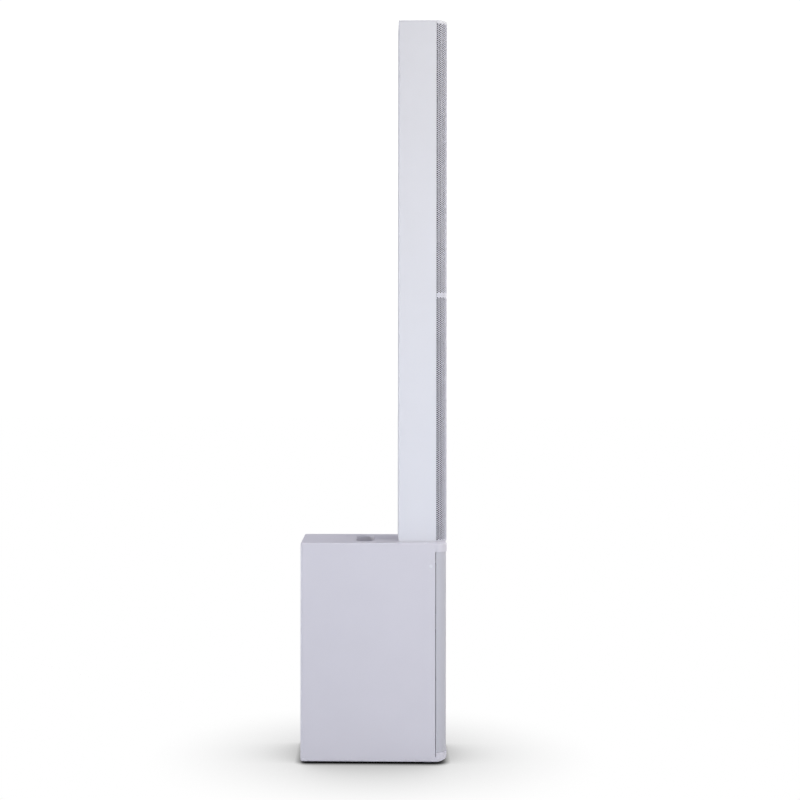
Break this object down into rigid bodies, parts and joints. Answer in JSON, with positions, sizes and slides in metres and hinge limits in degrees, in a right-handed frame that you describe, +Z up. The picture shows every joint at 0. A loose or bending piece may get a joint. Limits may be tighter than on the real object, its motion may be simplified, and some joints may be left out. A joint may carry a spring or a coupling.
{
  "type": "column pa system",
  "caption": "Slim white bass cabinet standing on rubber feet, with a tall two-section loudspeaker column plugged into its top and a recessed amplifier panel at the rear.",
  "frame": {"origin": "on the floor, under the middle of the object's outline in X and Y", "axes": "+Z up, -Y towards the grilles (front), +Y towards the amplifier panel, +X to the right seen from the front looking along +Y"},
  "size_m": [0.2304, 0.394, 2],
  "materials": {
    "white_paint": "fine satin paint, slightly cool white",
    "white_mesh": "satin powder coat on perforated sheet",
    "foam_black": "open-cell foam",
    "baffle_board": "raw board, blackened at the front",
    "basket_steel": "plated",
    "magnet": "ferrite and steel",
    "cone_paper": "pressed paper cone with rubber surround",
    "black_moulding": "fine moulded grain",
    "panel_metal": "black anodised",
    "circuit_board": "solder mask",
    "status_green": "clear tinted",
    "screw_steel": "black zinc",
    "foot_rubber": "moulded rubber"
  },
  "bodies": {
    "bass_cabinet": {"sub_cabinet": "white_paint", "sub_baffle": "baffle_board", "sub_grille": "white_mesh", "sub_grille_foam": "foam_black", "woofer_upper_frame": "basket_steel", "woofer_upper_magnet": "magnet", "woofer_lower_frame": "basket_steel", "woofer_lower_magnet": "magnet", "port_tube": "black_moulding", "grip_tub": "white_paint", "column_socket": "black_moulding", "amp_panel": "panel_metal", "input_jack_1": "black_moulding", "input_jack_2": "black_moulding", "link_output": "black_moulding", "mains_inlet": "black_moulding", "heat_sink": "panel_metal", "amp_board": "circuit_board", "power_supply_board": "circuit_board", "status_lens": "status_green", "panel_screw_ul": "screw_steel", "panel_screw_ur": "screw_steel", "panel_screw_ll": "screw_steel", "panel_screw_lr": "screw_steel", "side_plug_left": "white_paint", "side_plug_right": "white_paint", "foot_front_left": "foot_rubber", "foot_front_right": "foot_rubber", "foot_rear_left": "foot_rubber", "foot_rear_right": "foot_rubber"},
    "lower_column": {"lower_column_housing": "white_paint", "lower_column_grille": "white_mesh", "lower_column_foam": "foam_black", "lower_column_baffle": "baffle_board", "lower_column_bottom_cap": "black_moulding", "lower_column_top_cap": "black_moulding", "mid_driver_1": "cone_paper", "mid_driver_2": "cone_paper", "mid_driver_3": "cone_paper", "mid_driver_4": "cone_paper"},
    "upper_column": {"upper_column_housing": "white_paint", "upper_column_grille": "white_mesh", "upper_column_foam": "foam_black", "upper_column_baffle": "baffle_board", "upper_column_bottom_cap": "black_moulding", "column_top_cap": "white_paint", "mid_driver_5": "cone_paper", "mid_driver_6": "cone_paper", "mid_driver_7": "cone_paper", "mid_driver_8": "cone_paper", "hf_waveguide": "black_moulding", "hf_driver": "magnet"},
    "woofer_upper_moving": {"woofer_upper_cone": "cone_paper"},
    "woofer_lower_moving": {"woofer_lower_cone": "cone_paper"},
    "input_1_knob_body": {"input_1_knob": "black_moulding"},
    "input_2_knob_body": {"input_2_knob": "black_moulding"},
    "bass_level_knob_body": {"bass_level_knob": "black_moulding"},
    "master_level_knob_body": {"master_level_knob": "black_moulding"},
    "mode_button_body": {"mode_button": "black_moulding"},
    "power_rocker_body": {"power_rocker": "black_moulding"}
  },
  "joints": [
    {"name": "lower_column_lift", "type": "slide", "parent": "bass_cabinet", "child": "lower_column", "axis": [0, 0, 1], "range_m": [0, 0.06]},
    {"name": "upper_column_lift", "type": "slide", "parent": "lower_column", "child": "upper_column", "axis": [0, 0, 1], "range_m": [0, 0.06]},
    {"name": "woofer_upper_travel", "type": "slide", "parent": "bass_cabinet", "child": "woofer_upper_moving", "axis": [0, -1, 0], "range_m": [-0.005, 0.005]},
    {"name": "woofer_lower_travel", "type": "slide", "parent": "bass_cabinet", "child": "woofer_lower_moving", "axis": [0, -1, 0], "range_m": [-0.005, 0.005]},
    {"name": "input_1_turn", "type": "hinge", "parent": "bass_cabinet", "child": "input_1_knob_body", "pos_m": [-0.04, 0.182, 0.436], "axis": [0, -1, 0], "range_deg": [-150, 150]},
    {"name": "input_2_turn", "type": "hinge", "parent": "bass_cabinet", "child": "input_2_knob_body", "pos_m": [0.04, 0.182, 0.436], "axis": [0, -1, 0], "range_deg": [-150, 150]},
    {"name": "bass_level_turn", "type": "hinge", "parent": "bass_cabinet", "child": "bass_level_knob_body", "pos_m": [-0.012, 0.182, 0.395], "axis": [0, -1, 0], "range_deg": [-150, 150]},
    {"name": "master_level_turn", "type": "hinge", "parent": "bass_cabinet", "child": "master_level_knob_body", "pos_m": [0.04, 0.182, 0.395], "axis": [0, -1, 0], "range_deg": [-150, 150]},
    {"name": "mode_button_press", "type": "slide", "parent": "bass_cabinet", "child": "mode_button_body", "axis": [0, -1, 0], "range_m": [0, 0.002]},
    {"name": "power_rocker_tip", "type": "hinge", "parent": "bass_cabinet", "child": "power_rocker_body", "pos_m": [-0.02, 0.179, 0.205], "axis": [1, 0, 0], "range_deg": [0, 14]}
  ]
}
